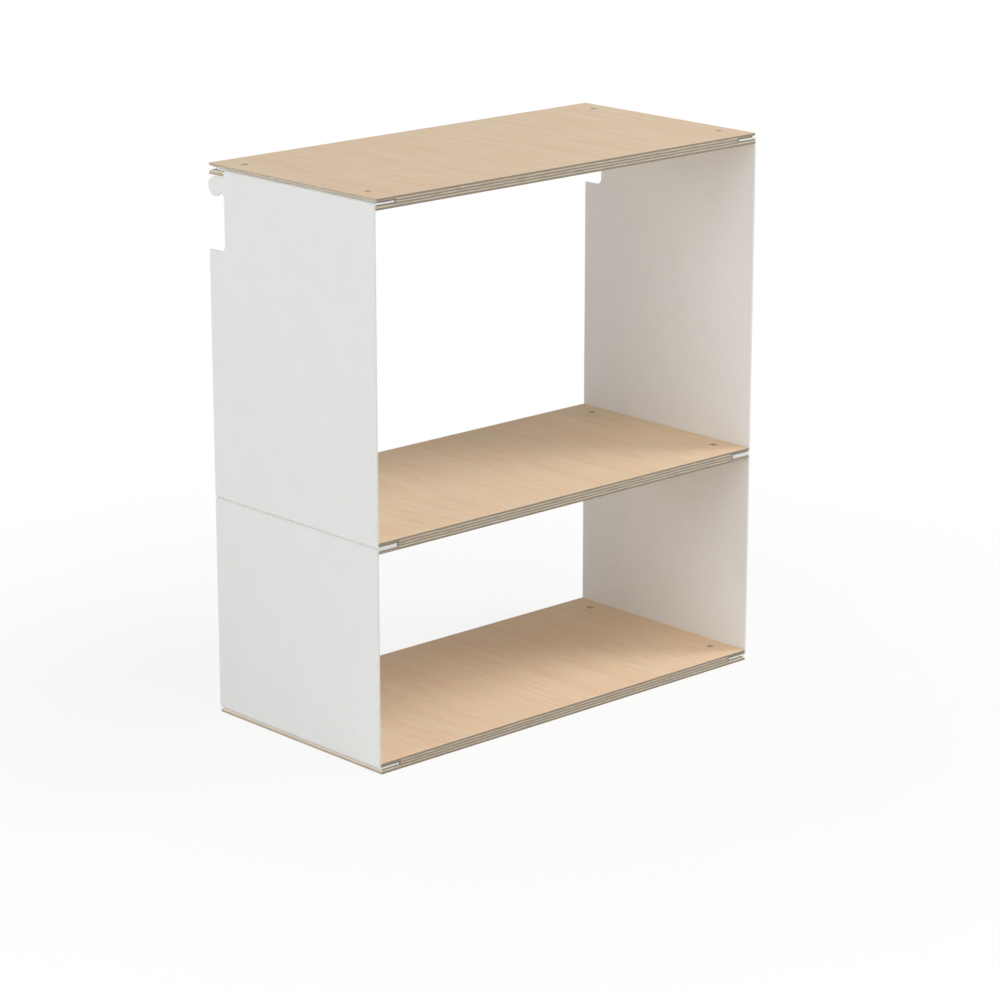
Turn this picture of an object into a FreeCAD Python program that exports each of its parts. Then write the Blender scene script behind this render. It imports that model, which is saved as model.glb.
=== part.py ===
import FreeCAD, Part
import math
import os

# Bookcase of two open compartments: three plywood shelves joined by bent steel sides.
# The end of each shelf has a slot along its whole depth. The flange of a steel side is pushed
# into it and held by two countersunk screws, sunk in the shelf's top face.
# The upper sides have a hook in their rear edge, so that the bookcase hangs on a rail and slides.
#
# Millimetres. X is the width (left is -X), Y the depth (the rear is +Y), Z is up.
# The origin is in the middle of the footprint, on the surface that the bookcase stands on.

# ---- bookcase ----
overall_width = 545.0         # over the outer faces of the steel sides
overall_height = 600.0
shelf_depth = 264.0
middle_shelf_top = 248.0      # height of the middle shelf's upper face

# ---- plywood shelves ----
board_thickness = 12.0
edge_round = 0.5              # sanded edges
flange_depth = 4.7            # from a shelf's upper face down to the flanges in its slot
slot_clearance = 0.3          # height of a slot beyond the flanges in it
slot_end_gap = 1.5            # length of a slot beyond the end of its flange
mouth_bevel_in = 3.0          # front and rear rims of a slot: bevelled this far into the board,
mouth_bevel_up = 2.2          # this far above and below the slot
mouth_bevel_end = 1.5         # and this far past its inner end
end_bevel_in = 3.5            # end rim of a slot, on the outer side of the steel's bend
end_bevel_up = 2.4
bend_relief_margin = 0.2      # end rim on the inner side of the bend: its radius and this, each way

# ---- steel sides ----
sheet_thickness = 2.0
bend_inner_radius = 1.2
flange_reach = 27.0           # from the side's outer face to the flange's free edge
flange_corner_radius = 1.0
sheet_setback = 1.0           # from the shelf's front and rear edges to the steel

# ---- hook in the rear edge of the upper sides ----
hook_top_gap = 0.6            # under the top shelf
hook_nose_radius = 10.4
hook_nose_setback = 0.2       # from the steel's rear edge to the tip of the nose
recess_depth = 25.6           # from the steel's rear edge
recess_roof_drop = 17.3       # from the hook's top to the recess's roof
recess_height = 60.7
recess_roof_radius = 4.0
recess_floor_radius = 7.5
notch_into_flange = 3.0       # above the hook, from the wall's inner face into the flange
flange_rear_cut = 9.0         # from the steel's rear edge to the end of the top flange

# ---- screws: countersunk, with a hexagon socket ----
screw_diameter = 4.0
screw_length = 8.0
screw_head_diameter = 7.5
screw_head_rim = 0.3          # upright edge round the head, above its cone
screw_head_sink = 0.6         # from the shelf's face down to the head
screw_tip_chamfer = 0.5
socket_across_flats = 2.5
socket_depth = 1.4
screw_from_flange_edge = 5.0
screw_from_shelf_edge = 35.0
bore_clearance = 0.4          # on the diameter, where a screw passes wood or steel
head_clearance = 0.3          # on the diameter, round the head's rim
thread_clearance = 0.1        # on the diameter, where a screw is tapped into steel
bore_bottom_gap = 0.5         # under the screw's tip

# ---- worked out from the above ----
outer_x = overall_width / 2
inner_x = outer_x - sheet_thickness
flange_end_x = outer_x - flange_reach
slot_end_x = flange_end_x - slot_end_gap
shelf_front_y = -shelf_depth / 2
shelf_rear_y = shelf_depth / 2
sheet_front_y = shelf_front_y + sheet_setback
sheet_rear_y = shelf_rear_y - sheet_setback
bend_outer_radius = bend_inner_radius + sheet_thickness
bend_relief = bend_inner_radius + bend_relief_margin

top_shelf_base = overall_height - board_thickness
middle_shelf_base = middle_shelf_top - board_thickness

# Heights of the lower faces of the flanges: one flange in the top shelf, two that lie on each
# other in the middle shelf, where this is the height at which they meet, and one in the bottom
# shelf. The slots of all three shelves start at the same depth.
top_flange_z = overall_height - flange_depth - sheet_thickness
meeting_z = middle_shelf_top - flange_depth - sheet_thickness
bottom_flange_z = board_thickness - flange_depth - sheet_thickness

screw_x = flange_end_x + screw_from_flange_edge
screw_y = shelf_depth / 2 - screw_from_shelf_edge
screw_cone_height = (screw_head_diameter - screw_diameter) / 2
past = 1.0                    # how far a cutting shape stands out of the piece that it cuts

LEFT = -1
RIGHT = 1
SIDE_NAMES = {LEFT: "left", RIGHT: "right"}
FRONT = -1
REAR = 1
END_NAMES = {FRONT: "front", REAR: "rear"}
UP = FreeCAD.Vector(0, 0, 1)


def cylinder(radius, x, y, z_low, z_high):
    """An upright cylinder between two heights."""
    return Part.makeCylinder(radius, z_high - z_low, FreeCAD.Vector(x, y, z_low), UP)


def block(x_low, x_high, y_low, y_high, z_low, z_high):
    """A box between two corners."""
    corner = FreeCAD.Vector(x_low, y_low, z_low)
    return Part.makeBox(x_high - x_low, y_high - y_low, z_high - z_low, corner)


def closed_face(edges):
    """A flat face inside edges that follow each other all the way round."""
    return Part.Face(Part.Wire(edges))


def polygon_face(points):
    """A flat face with straight sides."""
    return Part.Face(Part.makePolygon(points + points[:1]))


def line(start, end):
    return Part.LineSegment(start, end).toShape()


def arc(start, middle, end):
    return Part.Arc(start, middle, end).toShape()


def mirrored(shape):
    """The same piece for the other side of the bookcase."""
    return shape.mirror(FreeCAD.Vector(0, 0, 0), FreeCAD.Vector(1, 0, 0))


# ---- steel sides ----

def side_section(low_z, high_z):
    """The right side's section across the width: a wall with a flange bent inwards at each end."""
    def at(x, z):
        return FreeCAD.Vector(x, sheet_front_y, z)

    bend_x = outer_x - bend_outer_radius
    low_bend_z = low_z + bend_outer_radius
    high_bend_z = high_z - bend_outer_radius
    diagonal = math.sqrt(0.5)

    def bend(radius, centre_z, up):
        """Middle point of a bend's quarter circle, which faces outwards."""
        return at(bend_x + radius * diagonal, centre_z + up * radius * diagonal)

    edges = [
        line(at(flange_end_x, low_z), at(bend_x, low_z)),
        arc(at(bend_x, low_z), bend(bend_outer_radius, low_bend_z, -1), at(outer_x, low_bend_z)),
        line(at(outer_x, low_bend_z), at(outer_x, high_bend_z)),
        arc(at(outer_x, high_bend_z), bend(bend_outer_radius, high_bend_z, 1), at(bend_x, high_z)),
        line(at(bend_x, high_z), at(flange_end_x, high_z)),
        line(at(flange_end_x, high_z), at(flange_end_x, high_z - sheet_thickness)),
        line(at(flange_end_x, high_z - sheet_thickness), at(bend_x, high_z - sheet_thickness)),
        arc(at(bend_x, high_z - sheet_thickness), bend(bend_inner_radius, high_bend_z, 1),
            at(inner_x, high_bend_z)),
        line(at(inner_x, high_bend_z), at(inner_x, low_bend_z)),
        arc(at(inner_x, low_bend_z), bend(bend_inner_radius, low_bend_z, -1),
            at(bend_x, low_z + sheet_thickness)),
        line(at(bend_x, low_z + sheet_thickness), at(flange_end_x, low_z + sheet_thickness)),
        line(at(flange_end_x, low_z + sheet_thickness), at(flange_end_x, low_z)),
    ]
    return closed_face(edges)


def flange_corner_edges(side):
    """The short upright edges at the free corners of the flanges."""
    corners = []
    for edge in side.Edges:
        box = edge.BoundBox
        is_upright = box.XLength < 0.01 and box.YLength < 0.01
        if is_upright and abs(box.XMin - flange_end_x) < 0.01:
            corners.append(edge)
    return corners


def bent_side(low_z, high_z, cutters):
    """The right side between two heights, less what is cut from its outline, with rounded flange
    corners."""
    section = side_section(low_z, high_z)
    side = section.extrude(FreeCAD.Vector(0, sheet_rear_y - sheet_front_y, 0))
    for cutter in cutters:
        side = side.cut(cutter)
    return side.makeFillet(flange_corner_radius, flange_corner_edges(side))


def flange_bores(flange_z, diameter):
    """Two holes through the flange that starts at a height."""
    bores = []
    for end in (FRONT, REAR):
        bores.append(cylinder(diameter / 2, screw_x, end * screw_y,
                              flange_z - past, flange_z + sheet_thickness + past))
    return bores


def recess_cutter():
    """What is cut from the rear edge of an upper side: the room above the hook and the recess
    below it, in one outline round the hook's nose."""
    notch_x = inner_x - notch_into_flange

    def at(y, z):
        return FreeCAD.Vector(notch_x, y, z)

    inner_y = sheet_rear_y - recess_depth
    outside_y = sheet_rear_y + past
    hook_top_z = top_shelf_base - hook_top_gap
    roof_z = hook_top_z - recess_roof_drop
    floor_z = roof_z - recess_height
    above_z = overall_height + past
    diagonal = math.sqrt(0.5)

    # The hook's nose is a circle that hangs a little below the roof of the recess.
    nose_y = sheet_rear_y - hook_nose_setback - hook_nose_radius
    nose_z = hook_top_z - hook_nose_radius
    nose_droop = nose_z - roof_z
    nose_end_y = nose_y - math.sqrt(hook_nose_radius ** 2 - nose_droop ** 2)

    roof_start = at(inner_y + recess_roof_radius, roof_z)
    roof_bend = at(inner_y + recess_roof_radius * (1 - diagonal),
                   roof_z - recess_roof_radius * (1 - diagonal))
    roof_end = at(inner_y, roof_z - recess_roof_radius)
    floor_start = at(inner_y, floor_z + recess_floor_radius)
    floor_bend = at(inner_y + recess_floor_radius * (1 - diagonal),
                    floor_z + recess_floor_radius * (1 - diagonal))
    floor_end = at(inner_y + recess_floor_radius, floor_z)

    edges = [
        line(at(inner_y, above_z), at(inner_y, hook_top_z)),
        line(at(inner_y, hook_top_z), at(nose_y, hook_top_z)),
        arc(at(nose_y, hook_top_z),
            at(nose_y + hook_nose_radius * diagonal, nose_z - hook_nose_radius * diagonal),
            at(nose_end_y, roof_z)),
        line(at(nose_end_y, roof_z), roof_start),
        arc(roof_start, roof_bend, roof_end),
        line(roof_end, floor_start),
        arc(floor_start, floor_bend, floor_end),
        line(floor_end, at(outside_y, floor_z)),
        line(at(outside_y, floor_z), at(outside_y, above_z)),
        line(at(outside_y, above_z), at(inner_y, above_z)),
    ]
    return closed_face(edges).extrude(FreeCAD.Vector(outer_x + past - notch_x, 0, 0))


def flange_rear_cutter():
    """What is cut off the rear end of an upper side's top flange."""
    return block(flange_end_x - past, outer_x + past,
                 sheet_rear_y - flange_rear_cut, sheet_rear_y + past,
                 top_flange_z - past, top_flange_z + sheet_thickness + past)


def right_upper_side():
    """From the middle shelf's slot to the top shelf's slot. The screws are tapped into its top
    flange, and pass its bottom flange with clearance."""
    side = bent_side(meeting_z, top_flange_z + sheet_thickness,
                     [recess_cutter(), flange_rear_cutter()])
    bores = flange_bores(top_flange_z, screw_diameter + thread_clearance)
    bores += flange_bores(meeting_z, screw_diameter + bore_clearance)
    return side.cut(bores)


def right_lower_side():
    """From the bottom shelf's slot to the middle shelf's slot. Both flanges are tapped."""
    side = bent_side(bottom_flange_z, meeting_z, [])
    bores = flange_bores(bottom_flange_z, screw_diameter + thread_clearance)
    bores += flange_bores(meeting_z - sheet_thickness, screw_diameter + thread_clearance)
    return side.cut(bores)


# ---- plywood shelves ----

def mouth_cutter(end, slot_low_z, slot_high_z):
    """The bevelled rim of the right slot at the board's front or rear: above it, below it and
    round its inner end."""
    mouth_y = end * shelf_depth / 2
    bevel_y = end * (shelf_depth / 2 - mouth_bevel_in)
    wide_low_z = slot_low_z - mouth_bevel_up
    wide_high_z = slot_high_z + mouth_bevel_up
    wide_end_x = slot_end_x - mouth_bevel_end
    outside_x = inner_x + past

    above_and_below = polygon_face([
        FreeCAD.Vector(wide_end_x, bevel_y, slot_low_z),
        FreeCAD.Vector(wide_end_x, mouth_y, wide_low_z),
        FreeCAD.Vector(wide_end_x, mouth_y, wide_high_z),
        FreeCAD.Vector(wide_end_x, bevel_y, slot_high_z),
    ]).extrude(FreeCAD.Vector(outside_x - wide_end_x, 0, 0))
    past_inner_end = polygon_face([
        FreeCAD.Vector(slot_end_x, bevel_y, wide_low_z),
        FreeCAD.Vector(wide_end_x, mouth_y, wide_low_z),
        FreeCAD.Vector(outside_x, mouth_y, wide_low_z),
        FreeCAD.Vector(outside_x, bevel_y, wide_low_z),
    ]).extrude(UP * (wide_high_z - wide_low_z))
    return above_and_below.common(past_inner_end)


def end_rim_cutter(slot_z, up, is_outside_bend):
    """The bevelled rim of the right slot at the board's end, above (up is 1) or below it (-1)."""
    bevel_in = end_bevel_in if is_outside_bend else bend_relief
    bevel_up = end_bevel_up if is_outside_bend else bend_relief
    return polygon_face([
        FreeCAD.Vector(inner_x - bevel_in, shelf_front_y - past, slot_z),
        FreeCAD.Vector(inner_x, shelf_front_y - past, slot_z),
        FreeCAD.Vector(inner_x, shelf_front_y - past, slot_z + up * bevel_up),
    ]).extrude(FreeCAD.Vector(0, shelf_depth + 2 * past, 0))


def countersink(end, base_z):
    """Room for one screw in the right half of a shelf: a bore that ends under its tip, a cone
    that its head rests on, and a straight wall up to the shelf's face."""
    top_z = base_z + board_thickness
    head_z = top_z - screw_head_sink
    cone_low_z = head_z - screw_head_rim - screw_cone_height
    well_radius = (screw_head_diameter + head_clearance) / 2
    cone_high_z = cone_low_z + well_radius - screw_diameter / 2
    bore_low_z = head_z - screw_length - bore_bottom_gap
    y = end * screw_y

    bore = cylinder((screw_diameter + bore_clearance) / 2, screw_x, y, bore_low_z, top_z)
    cone = Part.makeCone(screw_diameter / 2, well_radius, cone_high_z - cone_low_z,
                         FreeCAD.Vector(screw_x, y, cone_low_z), UP)
    well = cylinder(well_radius, screw_x, y, cone_high_z, top_z + past)
    return bore.fuse([cone, well])


def shelf(base_z, flanges_low_z, flanges_high_z, outside_above, outside_below):
    """A board between the inner faces of the sides, with a slot round the flanges and two screw
    holes at each end. The last two say whether the outside of a bend is above or below the slot."""
    board = block(-inner_x, inner_x, shelf_front_y, shelf_rear_y,
                  base_z, base_z + board_thickness)
    board = board.makeFillet(edge_round, board.Edges)

    slot_low_z = flanges_low_z - slot_clearance / 2
    slot_high_z = flanges_high_z + slot_clearance / 2
    right_cuts = [block(slot_end_x, inner_x + past, shelf_front_y - past, shelf_rear_y + past,
                        slot_low_z, slot_high_z)]
    right_cuts.append(end_rim_cutter(slot_high_z, 1, outside_above))
    right_cuts.append(end_rim_cutter(slot_low_z, -1, outside_below))
    for end in (FRONT, REAR):
        right_cuts.append(mouth_cutter(end, slot_low_z, slot_high_z))
        right_cuts.append(countersink(end, base_z))
    left_cuts = [mirrored(cut) for cut in right_cuts]
    return board.cut(right_cuts + left_cuts)


# ---- screws ----

def screw(x, y, shelf_top_z):
    """A countersunk screw, sunk under the face of a shelf."""
    head_z = shelf_top_z - screw_head_sink
    cone_high_z = head_z - screw_head_rim
    cone_low_z = cone_high_z - screw_cone_height
    tip_z = head_z - screw_length
    radius = screw_diameter / 2
    head_radius = screw_head_diameter / 2

    def at(from_axis, z):
        return FreeCAD.Vector(x + from_axis, y, z)

    half_section = polygon_face([
        at(0, tip_z),
        at(radius - screw_tip_chamfer, tip_z),
        at(radius, tip_z + screw_tip_chamfer),
        at(radius, cone_low_z),
        at(head_radius, cone_high_z),
        at(head_radius, head_z),
        at(0, head_z),
    ])
    body = half_section.revolve(at(0, tip_z), UP, 360)

    corner_radius = socket_across_flats / math.sqrt(3)
    hexagon = []
    for corner in range(6):
        angle = math.radians(60 * corner)
        hexagon.append(FreeCAD.Vector(x + corner_radius * math.cos(angle),
                                      y + corner_radius * math.sin(angle),
                                      head_z - socket_depth))
    socket = polygon_face(hexagon).extrude(UP * (socket_depth + past))
    return body.cut(socket)


# ---- pieces ----

shelf_bases = {
    "top_shelf": top_shelf_base,
    "middle_shelf": middle_shelf_base,
    "bottom_shelf": 0.0,
}

pieces = {
    "top_shelf": shelf(top_shelf_base, top_flange_z, top_flange_z + sheet_thickness,
                       outside_above=True, outside_below=False),
    "middle_shelf": shelf(middle_shelf_base, meeting_z - sheet_thickness,
                          meeting_z + sheet_thickness, outside_above=False, outside_below=False),
    "bottom_shelf": shelf(0.0, bottom_flange_z, bottom_flange_z + sheet_thickness,
                          outside_above=False, outside_below=True),
    "right_upper_side": right_upper_side(),
    "right_lower_side": right_lower_side(),
}
pieces["left_upper_side"] = mirrored(pieces["right_upper_side"])
pieces["left_lower_side"] = mirrored(pieces["right_lower_side"])

for shelf_name, base_z in shelf_bases.items():
    for end, end_name in END_NAMES.items():
        for side, side_name in SIDE_NAMES.items():
            node = shelf_name + "_screw_" + end_name + "_" + side_name
            pieces[node] = screw(side * screw_x, end * screw_y, base_z + board_thickness)

os.makedirs("parts", exist_ok=True)
for node, shape in pieces.items():
    shape.exportStep("parts/" + node + ".step")
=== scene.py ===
import bpy
import math
from collections import namedtuple
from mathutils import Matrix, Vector


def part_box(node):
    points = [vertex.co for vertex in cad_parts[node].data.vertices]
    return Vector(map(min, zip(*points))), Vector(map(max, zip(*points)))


# A bookcase of plywood shelves and powder coated steel sides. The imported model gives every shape;
# this script adds the finishes, the light, the floor and the camera. Metres, +Z up, front at -Y.

# A noise pattern: how many blobs a metre holds along X, Y and Z, how many finer layers lie on the
# first, how strong they are, and from which place in the noise the pattern is taken.
Pattern = namedtuple("Pattern", "blobs layers strength start", defaults=(0.5, (0.0, 0.0, 0.0)))

# A soft step: what it gives up to the low level, and what it gives from the high level on.
Step = namedtuple("Step", "low high at_low at_high", defaults=(0.0, 1.0))

# A relief: how high it stands, in metres, and how strongly it shows.
Relief = namedtuple("Relief", "height strength")

NOISE_MIDDLE = 0.5            # the level that a noise pattern varies about
WHITE = (1.0, 1.0, 1.0, 1.0)
PLAIN_WHITE = 1.0             # the strength at which a white light renders as plain white

# ---- camera ----
CAMERA_AZIMUTH = -42.75       # degrees; 0 looks along +Y
CAMERA_ELEVATION = 16.11
CAMERA_DISTANCE = 3.766
CAMERA_TARGET = Vector((-0.0068, -0.0255, 0.2192))
CAMERA_LENS = 125.6           # mm
CAMERA_SENSOR = 36.0          # mm wide

# ---- light ----
WORLD_STRENGTH = 0.265
LIGHT_TARGET = Vector((0.0, 0.0, 0.3))
SOFTBOX_DISTANCE = 4.0
SOFTBOX_SIZE = 2.2
SOFTBOXES = (
    # name, azimuth, elevation, power in watts
    ("left", -80.0, 15.0, 47.0),
    ("rear_left", -140.0, 15.0, 28.0),
    ("right", 60.0, 30.0, 90.0),
    ("top", 0.0, 60.0, 37.0),
)

# ---- floor ----
FLOOR_RADIUS = 12.0
FLOOR_CORNERS = 96
FLOOR_COLOR = (0.88, 0.88, 0.87, 1.0)
FLOOR_ROUGHNESS = 0.9
FLOOR_FADE = Step(0.35, 1.00, 0.86, 1.0)   # how plain white it is, by the distance from the middle


# ---- shader building ----

class Number:
    """A number that a shader works out at each point, for use in plain formulas."""

    def __init__(self, nodes, socket):
        self.nodes = nodes
        self.socket = socket

    def __add__(self, other):
        return self.nodes.math("ADD", self, other)

    def __sub__(self, other):
        return self.nodes.math("SUBTRACT", self, other)

    def __rsub__(self, other):
        return self.nodes.math("SUBTRACT", other, self)

    def __mul__(self, other):
        return self.nodes.math("MULTIPLY", self, other)

    def __gt__(self, other):
        return self.nodes.math("GREATER_THAN", self, other)

    def __lt__(self, other):
        return self.nodes.math("LESS_THAN", self, other)

    def __abs__(self):
        return self.nodes.math("ABSOLUTE", self)


class Nodes:
    """A node tree, built in small steps."""

    # The Mix node's colour sockets have the same names as its others, so they go by their places.
    MIX_FACTOR = 0
    MIX_FIRST = 6
    MIX_SECOND = 7
    MIX_RESULT = 2

    def __init__(self, tree):
        self.tree = tree

    def put(self, socket, value):
        """Sets a socket to a constant, or links it to another socket or to a number."""
        if isinstance(value, Number):
            value = value.socket
        if isinstance(value, bpy.types.NodeSocket):
            self.tree.links.new(value, socket)
        else:
            socket.default_value = value

    def node(self, kind, inputs=None, **settings):
        made = self.tree.nodes.new(kind)
        for key, value in settings.items():
            setattr(made, key, value)
        for key, value in (inputs or {}).items():
            self.put(made.inputs[key], value)
        return made

    def math(self, operation, first, second=0.0):
        made = self.node("ShaderNodeMath", {0: first, 1: second}, operation=operation)
        return Number(self, made.outputs[0])

    def length(self, x, y):
        return self.math("SQRT", x * x + y * y)

    def position(self):
        """Where the point is, in metres in the row frame."""
        return self.node("ShaderNodeTexCoord").outputs["Object"]

    def normal(self):
        return self.node("ShaderNodeNewGeometry").outputs["Normal"]

    def split(self, vector):
        made = self.node("ShaderNodeSeparateXYZ", {"Vector": vector})
        return [Number(self, made.outputs[axis]) for axis in "XYZ"]

    def vector(self, x, y, z):
        return self.node("ShaderNodeCombineXYZ", {"X": x, "Y": y, "Z": z}).outputs[0]

    def noise(self, pattern, point):
        """Smooth random numbers about the noise's middle level."""
        place = self.node("ShaderNodeMapping",
                          {"Vector": point, "Scale": pattern.blobs, "Location": pattern.start})
        made = self.node("ShaderNodeTexNoise",
                         {"Vector": place.outputs[0], "Scale": 1.0,
                          "Detail": pattern.layers, "Roughness": pattern.strength})
        return Number(self, made.outputs[0])

    def smooth(self, value, step):
        made = self.node("ShaderNodeMapRange",
                         {"Value": value, "From Min": step.low, "From Max": step.high,
                          "To Min": step.at_low, "To Max": step.at_high},
                         interpolation_type="SMOOTHSTEP")
        return Number(self, made.outputs[0])

    def blend(self, factor, first, second):
        """Between two colours."""
        made = self.node("ShaderNodeMix",
                         {self.MIX_FACTOR: factor, self.MIX_FIRST: first, self.MIX_SECOND: second},
                         data_type="RGBA")
        return made.outputs[self.MIX_RESULT]

    def tinted(self, color, *tints):
        """A colour with others laid over it in turn, each as strongly as its step gives."""
        for value, step, tint in tints:
            color = self.blend(self.smooth(value, step), color, tint)
        return color

    def bump(self, height, relief):
        made = self.node("ShaderNodeBump", {"Height": height, "Distance": relief.height,
                                            "Strength": relief.strength})
        return made.outputs[0]

    def seen_rays(self):
        """1 for rays that show the background to the eye: straight, mirrored or through glass."""
        path = self.node("ShaderNodeLightPath")
        seen = path.outputs["Is Camera Ray"]
        for name in ("Is Glossy Ray", "Is Transmission Ray"):
            seen = self.math("MAXIMUM", seen, path.outputs[name])
        return seen


class Shader(Nodes):
    """The node tree of a new material."""

    def __init__(self, name):
        self.material = bpy.data.materials.new(name)
        self.material.use_nodes = True
        super().__init__(self.material.node_tree)
        self.surface = self.tree.nodes["Principled BSDF"]

    def finish(self, values):
        """Sets the surface's sockets by name, and returns the material."""
        for name, value in values.items():
            self.put(self.surface.inputs[name], value)
        return self.material


# ---- face veneer ----

VENEER_LIGHT = (0.806, 0.661, 0.475, 1.0)
VENEER_PEACH = (0.812, 0.595, 0.409, 1.0)
VENEER_DARK = (0.600, 0.412, 0.262, 1.0)

# Painted light and shade: how bright each board's veneer is, lighter on the boards that the lamps
# leave darker. Its pattern is the same on all of them.
VENEER_PAINTED_LIGHT_GAINS = {"top_shelf": 0.985, "middle_shelf": 1.01, "bottom_shelf": 1.065}

VENEER_START = (11.0, 0.0, 0.0)
TINTS_START = (-11.0, 0.0, 0.0)
DRIFT = Pattern((9.0, 4.0, 0.0), 2.0, 0.50, VENEER_START)
STREAKS = Pattern((42.0, 3.6, 0.0), 5.0, 0.70, VENEER_START)
TINTS = Pattern((300.0, 13.0, 0.0), 3.0, 0.70, TINTS_START)
RINGS = Pattern((210.0, 8.0, 0.0), 4.0, 0.65, VENEER_START)
FIBRES = Pattern((700.0, 25.0, 0.0), 3.0, 0.70, VENEER_START)
PORES = Pattern((2600.0, 170.0, 0.0), 1.0, 0.50, VENEER_START)
FLECKS = Pattern((330.0, 60.0, 0.0), 1.0, 0.50, VENEER_START)

DRIFT_WIDTH = 0.022           # how far the grain strays sideways, from one side to the other
STREAKS_PEACH = Step(0.34, 0.66)
TINTS_PEACH = Step(0.46, 0.64, 0.0, 0.45)
TINTS_LIGHT = Step(0.34, 0.46, 0.45, 0.0)
RINGS_DARK = Step(0.44, 0.66, 0.0, 0.26)
RINGS_LIGHT = Step(0.34, 0.50, 0.55, 0.0)
FIBRES_DARK = Step(0.30, 0.75, 0.0, 0.20)
PORES_DARK = Step(0.70, 0.78, 0.0, 0.35)
FLECKS_DARK = Step(0.62, 0.74, 0.0, 0.16)
PORES_DEEP = Step(0.70, 0.78, 0.0, 0.6)   # as shares of the relief's height
FIBRE_HEIGHT = 0.5                        # likewise


def scaled(color, painted_light_gain):
    """A colour made brighter or darker, and kept opaque."""
    return tuple(channel * painted_light_gain for channel in color[:3]) + (1.0,)


def face_veneer(shader, point, painted_light_gain):
    """Pale birch: soft streaks of beige and peach, fine fibres and short pores, all along Y.
    Gives the colour and the height."""
    # Painted light and shade: the board's gain makes all its veneer tones lighter or darker.
    light = scaled(VENEER_LIGHT, painted_light_gain)
    peach = scaled(VENEER_PEACH, painted_light_gain)
    dark = scaled(VENEER_DARK, painted_light_gain)

    x, y, _ = shader.split(point)
    bent_x = x + (shader.noise(DRIFT, point) - NOISE_MIDDLE) * DRIFT_WIDTH
    bent_point = shader.vector(bent_x, y, 0.0)
    tints = shader.noise(TINTS, bent_point)
    rings = shader.noise(RINGS, bent_point)
    fibres = shader.noise(FIBRES, bent_point)
    pores = shader.noise(PORES, point)
    color = shader.tinted(
        light,
        (shader.noise(STREAKS, bent_point), STREAKS_PEACH, peach),
        (tints, TINTS_PEACH, peach),
        (tints, TINTS_LIGHT, light),
        (rings, RINGS_DARK, dark),
        (rings, RINGS_LIGHT, light),
        (fibres, FIBRES_DARK, dark),
        (pores, PORES_DARK, dark),
        (shader.noise(FLECKS, point), FLECKS_DARK, dark),
    )
    return color, fibres * FIBRE_HEIGHT - shader.smooth(pores, PORES_DEEP)


# ---- bare edge ----

FRONT_DARK_PLY = (0.330, 0.270, 0.200, 1.0)
FRONT_LIGHT_PLY = (0.610, 0.550, 0.450, 1.0)
# The bevels at the front and rear: a mid tone between the dark and light plies.
FRONT_BEVEL = (0.480, 0.410, 0.320, 1.0)
END_DARK_PLY = (0.600, 0.490, 0.370, 1.0)
END_LIGHT_PLY = (0.780, 0.665, 0.515, 1.0)
# Painted light: the bevels at the board's ends are painted lighter than any ply, standing in for
# the light that falls on them.
END_BEVEL_PAINTED_LIGHT = (0.900, 0.840, 0.740, 1.0)
PLY_FLECK = (0.700, 0.450, 0.250, 1.0)
PLY_SHADE = (0.200, 0.155, 0.115, 1.0)

EDGE_START = (0.0, 0.0, 11.0)
SPECKLE = Pattern((1500.0, 1500.0, 1500.0), 2.0, 0.5, EDGE_START)
STRIPES = Pattern((70.0, 70.0, 2600.0), 3.0, 0.6, EDGE_START)
EDGE_FLECKS = Pattern((260.0, 260.0, 900.0), 1.0, 0.5, EDGE_START)
EDGE_CLOUDS = Pattern((60.0, 60.0, 500.0), 3.0, 0.5, EDGE_START)

SPECKLE_SHADE = Step(0.35, 0.75, 0.0, 0.30)
STRIPES_SHADE = Step(0.45, 0.75, 0.0, 0.35)
EDGE_FLECKS_SHOW = Step(0.58, 0.70, 0.0, 0.60)
EDGE_CLOUDS_SHADE = Step(0.38, 0.72, 0.0, 0.30)
SPECKLE_HEIGHT = 0.4          # as a share of the relief's height
STRIPES_HEIGHT = 0.3          # likewise

KINDS_OF_PLY = 2.0            # dark and light plies take turns, and the top one is dark
END_FACE = Step(-0.3, 0.3)    # by how much more the surface faces an end than the front or rear
BEVEL_SLOPE = Step(0.40, 0.55)            # by how much the surface faces up or down
BEVEL_TONE_AND_LIGHT_SHOW = Step(0.0, 1.0, 0.35, 0.95)   # least at the front and rear, where it is a mid tone of the plies, and most at the ends, where it is painted light


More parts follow.
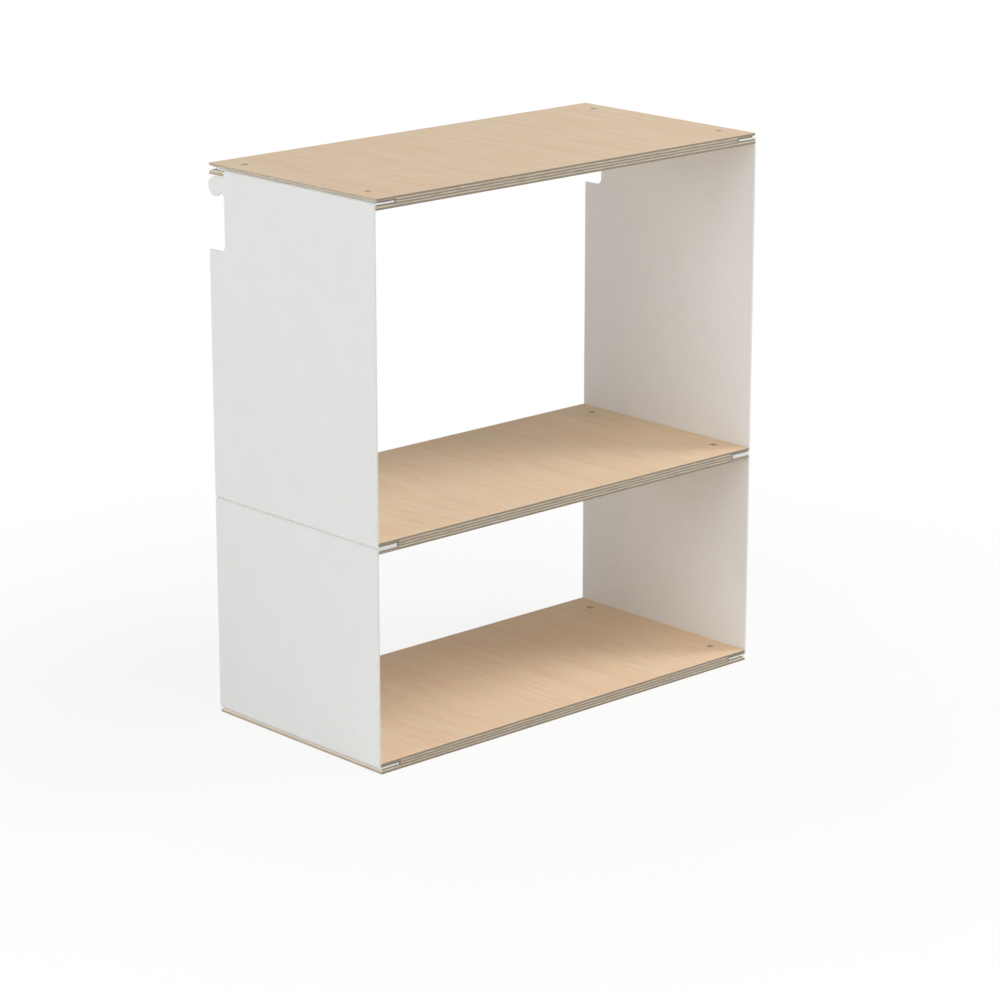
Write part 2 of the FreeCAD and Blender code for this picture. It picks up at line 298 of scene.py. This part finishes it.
def bare_edge(shader, point, normal, plies_above):
    """The sawn and sanded edge: dark plies cut across their grain, and light ones cut along it.
    The bevels of the slots, and the edge's other surfaces that face up or down, take their own
    tone: at the front and rear a mid tone between the plies, and at the board's ends a light tone
    that is painted light. Gives the colour and the height."""
    normal_x, normal_y, normal_z = shader.split(normal)
    is_end = shader.smooth(abs(normal_x) - abs(normal_y), END_FACE)
    is_light = shader.math("MODULO", plies_above, KINDS_OF_PLY)
    # Where the bevels show their tone: a mid tone at the front and rear, and painted light at the
    # ends.
    bevel_tone_and_light_share = shader.smooth(abs(normal_z), BEVEL_SLOPE) * shader.smooth(is_end, BEVEL_TONE_AND_LIGHT_SHOW)

    speckle = shader.noise(SPECKLE, point)
    stripes = shader.noise(STRIPES, point)
    dark = shader.tinted(
        shader.blend(is_end, FRONT_DARK_PLY, END_DARK_PLY),
        (speckle, SPECKLE_SHADE, PLY_SHADE),
    )
    light = shader.tinted(
        shader.blend(is_end, FRONT_LIGHT_PLY, END_LIGHT_PLY),
        (stripes, STRIPES_SHADE, PLY_SHADE),
        (shader.noise(EDGE_FLECKS, point), EDGE_FLECKS_SHOW, PLY_FLECK),
    )
    plies = shader.tinted(
        shader.blend(is_light, dark, light),
        (shader.noise(EDGE_CLOUDS, point), EDGE_CLOUDS_SHADE, PLY_SHADE),
    )
    # Painted light at the ends: the bevels' tone there is lighter than any ply.
    bevel_tone_and_painted_light = shader.blend(is_end, FRONT_BEVEL, END_BEVEL_PAINTED_LIGHT)
    color = shader.blend(bevel_tone_and_light_share, plies, bevel_tone_and_painted_light)
    return color, speckle * SPECKLE_HEIGHT + stripes * STRIPES_HEIGHT


# ---- plywood ----

PLY_DEPTHS = (0.0022, 0.0039, 0.0053, 0.0068, 0.0081, 0.0098)   # glue lines, from the top face
WAVES = Pattern((22.0, 22.0, 22.0), 3.0, 0.5, VENEER_START)
WAVE_HEIGHT = 0.0010          # how far the plies wave, from the lowest to the highest
GLUE = (0.160, 0.110, 0.070, 1.0)
GLUE_HALF = 0.00006           # half the thickness of a glue line
GLUE_COVER = 0.75
VENEER_DEPTH = 0.0008         # how deep the face veneer's own colour shows
FACE_SLOPE = 0.6              # a surface that faces up or down by more than this is a face
BOARD_ROUGHNESS = Step(-0.1, 0.5, 0.68, 0.58)   # by the veneer's height
BOARD_SPECULAR = 0.25
BOARD_RELIEF = Relief(0.00006, 0.6)


def plywood(board, painted_light_gain):
    """Seven plies and the glue lines between them, with veneer on the two faces."""
    shader = Shader(board + "_plywood")
    point = shader.position()
    normal = shader.normal()
    _, _, z = shader.split(point)
    _, _, normal_z = shader.split(normal)

    # Depth under the top face; the plies wave a little.
    lowest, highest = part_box(board)
    thickness = highest.z - lowest.z
    depth = highest.z - z + (shader.noise(WAVES, point) - NOISE_MIDDLE) * WAVE_HEIGHT
    plies_above = depth > PLY_DEPTHS[0]
    is_glue = abs(depth - PLY_DEPTHS[0]) < GLUE_HALF
    for glue_depth in PLY_DEPTHS[1:]:
        plies_above = plies_above + (depth > glue_depth)
        is_glue = is_glue + (abs(depth - glue_depth) < GLUE_HALF)

    veneer, veneer_height = face_veneer(shader, point, painted_light_gain)
    edge, edge_height = bare_edge(shader, point, normal, plies_above)
    edge = shader.blend(is_glue * GLUE_COVER, edge, GLUE)

    near_face = (depth < VENEER_DEPTH) + (depth > thickness - VENEER_DEPTH)
    is_face = near_face * (abs(normal_z) > FACE_SLOPE)
    height = edge_height + (veneer_height - edge_height) * is_face
    return shader.finish({
        "Base Color": shader.blend(is_face, edge, veneer),
        "Roughness": shader.smooth(veneer_height, BOARD_ROUGHNESS),
        "Specular IOR Level": BOARD_SPECULAR,
        "Normal": shader.bump(height, BOARD_RELIEF),
    })


# ---- powder coat ----

COAT_COLOR = (0.850, 0.850, 0.838, 1.0)
# A darker tone of the coat, for its mottling and specks, and for the painted shade on the edges.
COAT_SHADE = (0.730, 0.728, 0.712, 1.0)
PEBBLES = Pattern((1100.0, 1100.0, 1100.0), 2.0)
SWELLS = Pattern((330.0, 330.0, 330.0), 3.0)
COAT_CLOUDS = Pattern((30.0, 30.0, 30.0), 3.0)
SPECKS = Pattern((520.0, 520.0, 520.0), 0.0)
COAT_CLOUDS_SHADE = Step(0.3, 0.7, 0.0, 0.10)
PEBBLES_SHADE = Step(0.35, 0.75, 0.0, 0.22)
SWELLS_SHADE = Step(0.35, 0.70, 0.0, 0.14)
EDGE_PAINTED_SHADE = Step(0.80, 0.95, 0.0, 0.5)      # painted shade, by how much the surface faces the front or rear
SPECKS_SHADE = Step(0.78, 0.86, 0.0, 0.7)
COAT_ROUGHNESS = Step(0.3, 0.7, 0.50, 0.60)     # by the swells
COAT_SPECULAR = 0.4
COAT_RELIEF = Relief(0.00008, 0.5)
SWELL_HEIGHT = 1.5            # against that of the pebbles


def powder_coat():
    """Off-white powder coat: a fine pebbled skin with a few darker specks, and a little painted
    shade on the sheet's sheared front and rear edges."""
    shader = Shader("powder_coat")
    point = shader.position()
    _, normal_y, _ = shader.split(shader.normal())
    pebbles = shader.noise(PEBBLES, point)
    swells = shader.noise(SWELLS, point)
    color = shader.tinted(
        COAT_COLOR,
        (shader.noise(COAT_CLOUDS, point), COAT_CLOUDS_SHADE, COAT_SHADE),
        (pebbles, PEBBLES_SHADE, COAT_SHADE),
        (swells, SWELLS_SHADE, COAT_SHADE),
        # painted shade on the front and rear edges
        (abs(normal_y), EDGE_PAINTED_SHADE, COAT_SHADE),
        (shader.noise(SPECKS, point), SPECKS_SHADE, COAT_SHADE),
    )
    return shader.finish({
        "Base Color": color,
        "Roughness": shader.smooth(swells, COAT_ROUGHNESS),
        "Specular IOR Level": COAT_SPECULAR,
        "Normal": shader.bump(pebbles + swells * SWELL_HEIGHT, COAT_RELIEF),
    })


# ---- screw steel ----

STEEL_COLOR = (0.720, 0.715, 0.705, 1.0)
STEEL_DARK = (0.200, 0.195, 0.190, 1.0)
ONE_SCREW = "top_shelf_screw_front_right"       # the others stand in line with it or mirror it
TURNING = Pattern((9000.0, 0.0, 0.0), 3.0)
STEEL_PATCHES = Pattern((900.0, 900.0, 900.0), 3.0)
STEEL_PATCHES_DARK = Step(0.35, 0.75, 0.0, 0.5)
STEEL_ROUGHNESS = Step(0.3, 0.7, 0.28, 0.42)    # by the patches
STEEL_RELIEF = Relief(0.00002, 0.5)


def screw_steel():
    """Bright steel, darker in patches at random, with fine turning marks in rings round each
    screw's axis.
    """
    shader = Shader("screw_steel")
    point = shader.position()
    x, y, _ = shader.split(point)
    lowest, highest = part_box(ONE_SCREW)
    axis = (lowest + highest) / 2
    radius = shader.length(abs(x) - abs(axis.x), abs(y) - abs(axis.y))
    turning = shader.noise(TURNING, shader.vector(radius, 0.0, 0.0))
    patches = shader.noise(STEEL_PATCHES, point)
    return shader.finish({
        "Base Color": shader.tinted(STEEL_COLOR, (patches, STEEL_PATCHES_DARK, STEEL_DARK)),
        "Metallic": 1.0,
        "Roughness": shader.smooth(patches, STEEL_ROUGHNESS),
        "Normal": shader.bump(turning, STEEL_RELIEF),
    })


def dress(frame):
    """Gives each node of the frame the finish of its kind of piece."""
    coat = powder_coat()
    steel = screw_steel()
    for name, piece in frame["nodes"].items():
        if "screw" in name:
            material = steel
        elif name in VENEER_PAINTED_LIGHT_GAINS:
            # each board's veneer carries its painted light and shade through its gain
            material = plywood(name, VENEER_PAINTED_LIGHT_GAINS[name])
        else:
            material = coat
        piece.data.materials.clear()
        piece.data.materials.append(material)


# ---- surroundings ----

def direction(azimuth, elevation):
    """From the object towards a place round it; azimuth 0 is in front of it."""
    turn = math.radians(azimuth)
    rise = math.radians(elevation)
    level = math.cos(rise)
    return Vector((math.sin(turn) * level, -math.cos(turn) * level, math.sin(rise)))


def add_round(data, target, azimuth, elevation, distance):
    """Adds a camera or a lamp at a place round a target, and points it at the target."""
    away = direction(azimuth, elevation)
    thing = bpy.data.objects.new(data.name, data)
    thing.location = target + away * distance
    thing.rotation_euler = away.to_track_quat("Z", "Y").to_euler()
    bpy.context.scene.collection.objects.link(thing)
    return thing


def add_camera():
    data = bpy.data.cameras.new("camera")
    data.lens = CAMERA_LENS
    data.sensor_width = CAMERA_SENSOR
    camera = add_round(data, CAMERA_TARGET, CAMERA_AZIMUTH, CAMERA_ELEVATION, CAMERA_DISTANCE)
    bpy.context.scene.camera = camera


def add_softbox(name, azimuth, elevation, power):
    data = bpy.data.lights.new(name, "AREA")
    data.shape = "DISK"
    data.size = SOFTBOX_SIZE
    data.energy = power
    add_round(data, LIGHT_TARGET, azimuth, elevation, SOFTBOX_DISTANCE)


def add_world():
    """Even light from all round, which the eye sees as plain white."""
    world = bpy.data.worlds.new("studio")
    world.use_nodes = True
    bpy.context.scene.world = world
    nodes = Nodes(world.node_tree)
    strength = nodes.node("ShaderNodeMapRange",
                          {"Value": nodes.seen_rays(), "To Min": WORLD_STRENGTH,
                           "To Max": PLAIN_WHITE})
    background = nodes.tree.nodes["Background"]
    nodes.put(background.inputs["Color"], WHITE)
    nodes.put(background.inputs["Strength"], strength.outputs[0])


def add_floor():
    """A pale floor that fades to plain white away from the object and keeps its shadow."""
    bpy.ops.mesh.primitive_circle_add(vertices=FLOOR_CORNERS, radius=FLOOR_RADIUS, fill_type="NGON")
    floor = bpy.context.object
    floor.name = "floor"
    shader = Shader("floor")
    x, y, _ = shader.split(shader.position())
    fade = shader.smooth(shader.length(x, y), FLOOR_FADE)
    glow = shader.node("ShaderNodeEmission", {"Color": WHITE, "Strength": PLAIN_WHITE})
    mixed = shader.node("ShaderNodeMixShader",
                        {0: fade * shader.seen_rays(), 1: shader.surface.outputs[0],
                         2: glow.outputs[0]})
    shader.put(shader.tree.nodes["Material Output"].inputs["Surface"], mixed.outputs[0])
    material = shader.finish({"Base Color": FLOOR_COLOR, "Roughness": FLOOR_ROUGHNESS,
                              "Specular IOR Level": 0.0})
    floor.data.materials.append(material)


# ---- scene ----

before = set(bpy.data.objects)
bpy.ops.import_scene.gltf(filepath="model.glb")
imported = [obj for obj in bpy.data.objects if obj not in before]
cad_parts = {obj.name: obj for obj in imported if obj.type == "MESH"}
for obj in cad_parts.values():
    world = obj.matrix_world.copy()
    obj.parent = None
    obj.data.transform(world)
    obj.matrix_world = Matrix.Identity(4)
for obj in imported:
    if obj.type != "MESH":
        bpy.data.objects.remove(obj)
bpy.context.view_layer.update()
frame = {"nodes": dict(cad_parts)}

dress(frame)
add_camera()
add_world()
add_floor()
for softbox in SOFTBOXES:
    add_softbox(*softbox)
bpy.context.scene.view_settings.view_transform = "Standard"
